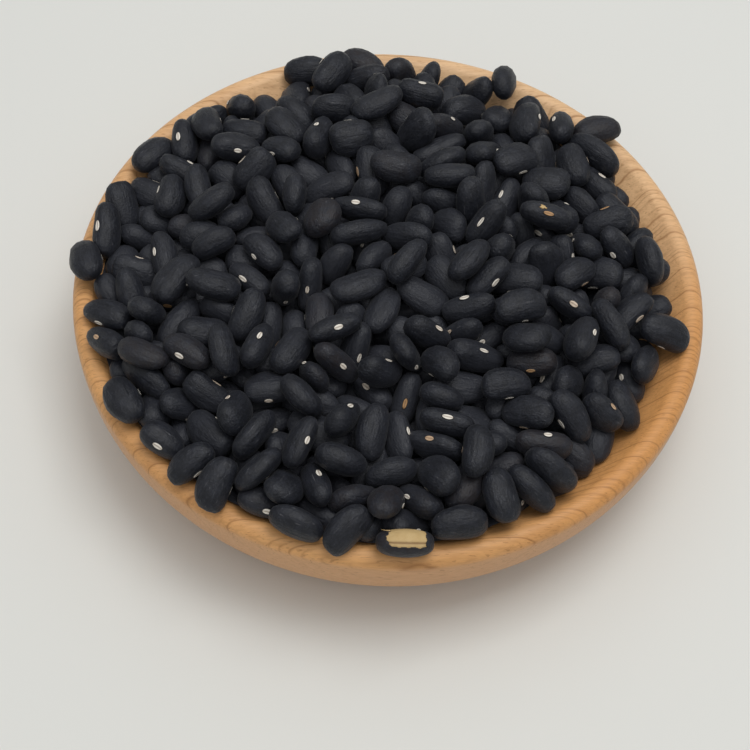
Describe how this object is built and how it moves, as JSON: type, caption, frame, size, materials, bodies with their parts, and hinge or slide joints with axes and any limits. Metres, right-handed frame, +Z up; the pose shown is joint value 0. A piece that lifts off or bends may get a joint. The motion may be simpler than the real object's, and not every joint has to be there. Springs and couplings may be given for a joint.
{
  "type": "bowl of dried beans",
  "caption": "Shallow round turned beech dish heaped above its rim with small black dried beans, on a flat round foot.",
  "frame": {"origin": "centre of the bowl's flat foot, on the surface that it stands on", "axes": "+Z up along the bowl's turning axis; -Y towards the viewer of the picture, where the split bean lies; +X to that viewer's right"},
  "size_m": [0.1511, 0.15, 0.0489],
  "materials": {
    "beech_wood": "fine-sanded beech with a thin satin oil, orange-tan, dark ring lines and small flecks",
    "black_bean": "seed coat, matt to satin charcoal black, slightly blue, broad soft highlights",
    "bean_eye": "small cream oval scar on the bean's side with a dark slit, matt; on the visual model only",
    "bean_flesh": "cream-yellow inside of the one split bean, dry and chalky; on the visual model only"
  },
  "bodies": {
    "root": {"bowl": "beech_wood", "bean_heap": "black_bean"}
  },
  "joints": []
}
